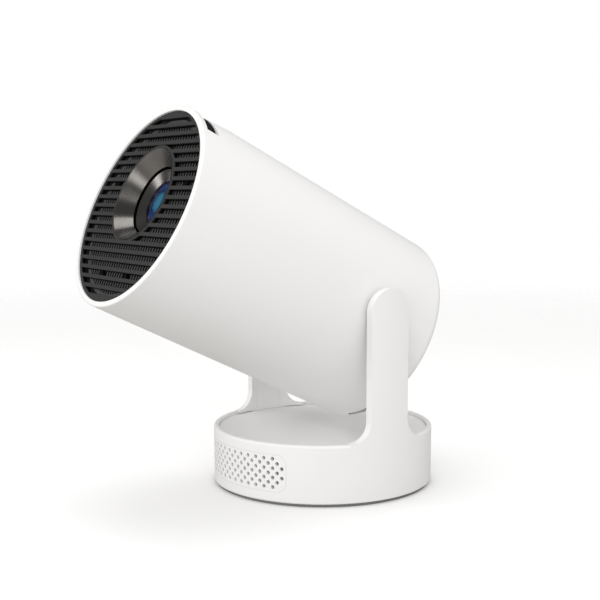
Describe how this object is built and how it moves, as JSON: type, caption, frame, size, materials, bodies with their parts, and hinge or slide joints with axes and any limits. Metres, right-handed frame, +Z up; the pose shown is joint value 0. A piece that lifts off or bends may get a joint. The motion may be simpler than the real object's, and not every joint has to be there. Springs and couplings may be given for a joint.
{
  "type": "home projector",
  "caption": "Cylindrical home projector whose barrel tilts in a yoke on a round base, with a slotted front, a focus slot, a rear fan and a speaker in the base.",
  "frame": {"origin": "centre of the underside of the foot ring, on the axis of the round base", "axes": "+Z up along the base axis, -Y towards the lens, +X across the yoke along the tilt axis"},
  "size_m": [0.1136, 0.1824, 0.1882],
  "materials": {
    "white_shell": "fine moulded texture, satin",
    "white_cover": "fine moulded texture, satin",
    "grille_black": "satin charcoal",
    "mesh_black": "dull black",
    "trim_metal": "turned gunmetal",
    "lens_glass": "coated, polished",
    "panel_glass": "polished",
    "black_plastic": "moulded black",
    "black_rubber": "ribbed, dull",
    "grey_cloth": "open weave",
    "steel": "zinc plated",
    "brass": "turned",
    "washer_white": "low-friction plastic",
    "board_green": "solder-masked board",
    "can_blue": "sleeved",
    "funnel_white": "reflective white",
    "sink_aluminium": "extruded",
    "foot_cover": "moulded, dull",
    "button_white": "satin",
    "light_guide": "translucent"
  },
  "bodies": {
    "stand": {"stand_shell": "white_shell", "stand_top_plate": "white_cover", "arm_cover_left": "white_cover", "arm_cover_right": "white_cover", "stand_bottom_cover": "foot_cover", "foot_ring": "black_rubber", "tripod_insert": "brass", "base_screws": "steel", "hinge_plate_left": "steel", "hinge_plate_right": "steel", "pivot_pin_left": "steel", "pivot_pin_right": "steel", "friction_washers": "washer_white", "hinge_nuts": "steel", "power_board": "board_green", "transformer": "black_plastic", "capacitors": "can_blue", "mains_inlet": "black_plastic", "inlet_pins": "steel", "speaker_frame": "black_plastic", "speaker_cone": "black_rubber", "speaker_magnet": "steel", "speaker_cloth": "grey_cloth"},
    "head": {"barrel_shell": "white_shell", "front_grille": "grille_black", "dust_mesh": "mesh_black", "lens_trim_ring": "trim_metal", "lens_mount": "black_plastic", "bulkhead": "black_plastic", "optical_housing": "black_plastic", "front_field_lens": "panel_glass", "display_panel": "panel_glass", "rear_field_lens": "panel_glass", "light_funnel": "funnel_white", "condenser_lens": "panel_glass", "light_board": "board_green", "heat_sink": "sink_aluminium", "fan_frame": "black_plastic", "main_board": "board_green", "board_shield": "steel", "picture_socket": "steel", "data_socket": "steel", "sound_socket": "black_plastic", "rear_cover": "white_cover", "light_ring": "light_guide", "button_switch": "board_green", "hinge_bracket_left": "steel", "hinge_bracket_right": "steel", "hinge_bushes": "washer_white", "head_screws": "steel"},
    "focus_wheel": {"focus_ring": "black_plastic", "focus_grip": "black_rubber"},
    "lens_group": {"lens_barrel": "black_plastic", "lens_nose_ring": "trim_metal", "front_lens": "lens_glass", "middle_lens": "lens_glass", "rear_lens": "lens_glass", "lens_carrier": "black_plastic"},
    "fan": {"fan_rotor": "black_plastic"},
    "button": {"power_button": "button_white"}
  },
  "joints": [
    {"name": "head_tilt", "type": "hinge", "parent": "stand", "child": "head", "pos_m": [0, 0, 0.093], "axis": [1, 0, 0], "range_deg": [-154, 25.9]},
    {"name": "focus_turn", "type": "hinge", "parent": "head", "child": "focus_wheel", "pos_m": [0, -0.09499, 0.13913], "axis": [0, -0.8996, 0.4368], "range_deg": [-18, 18]},
    {"name": "lens_slide", "type": "slide", "parent": "head", "child": "lens_group", "axis": [0, -0.8996, 0.4368], "range_m": [-0.00201, 0.00201]},
    {"name": "fan_spin", "type": "hinge", "parent": "head", "child": "fan", "pos_m": [0, 0.01745, 0.08453], "axis": [0, -0.8996, 0.4368], "continuous": true},
    {"name": "power_press", "type": "slide", "parent": "head", "child": "button", "axis": [0, -0.8996, 0.4368], "range_m": [0, 0.0008], "stiffness_N_per_m": 400}
  ],
  "couplings": [
    {"joint": "lens_slide", "follows": "focus_turn", "m_per_rad": 0.0063662}
  ]
}
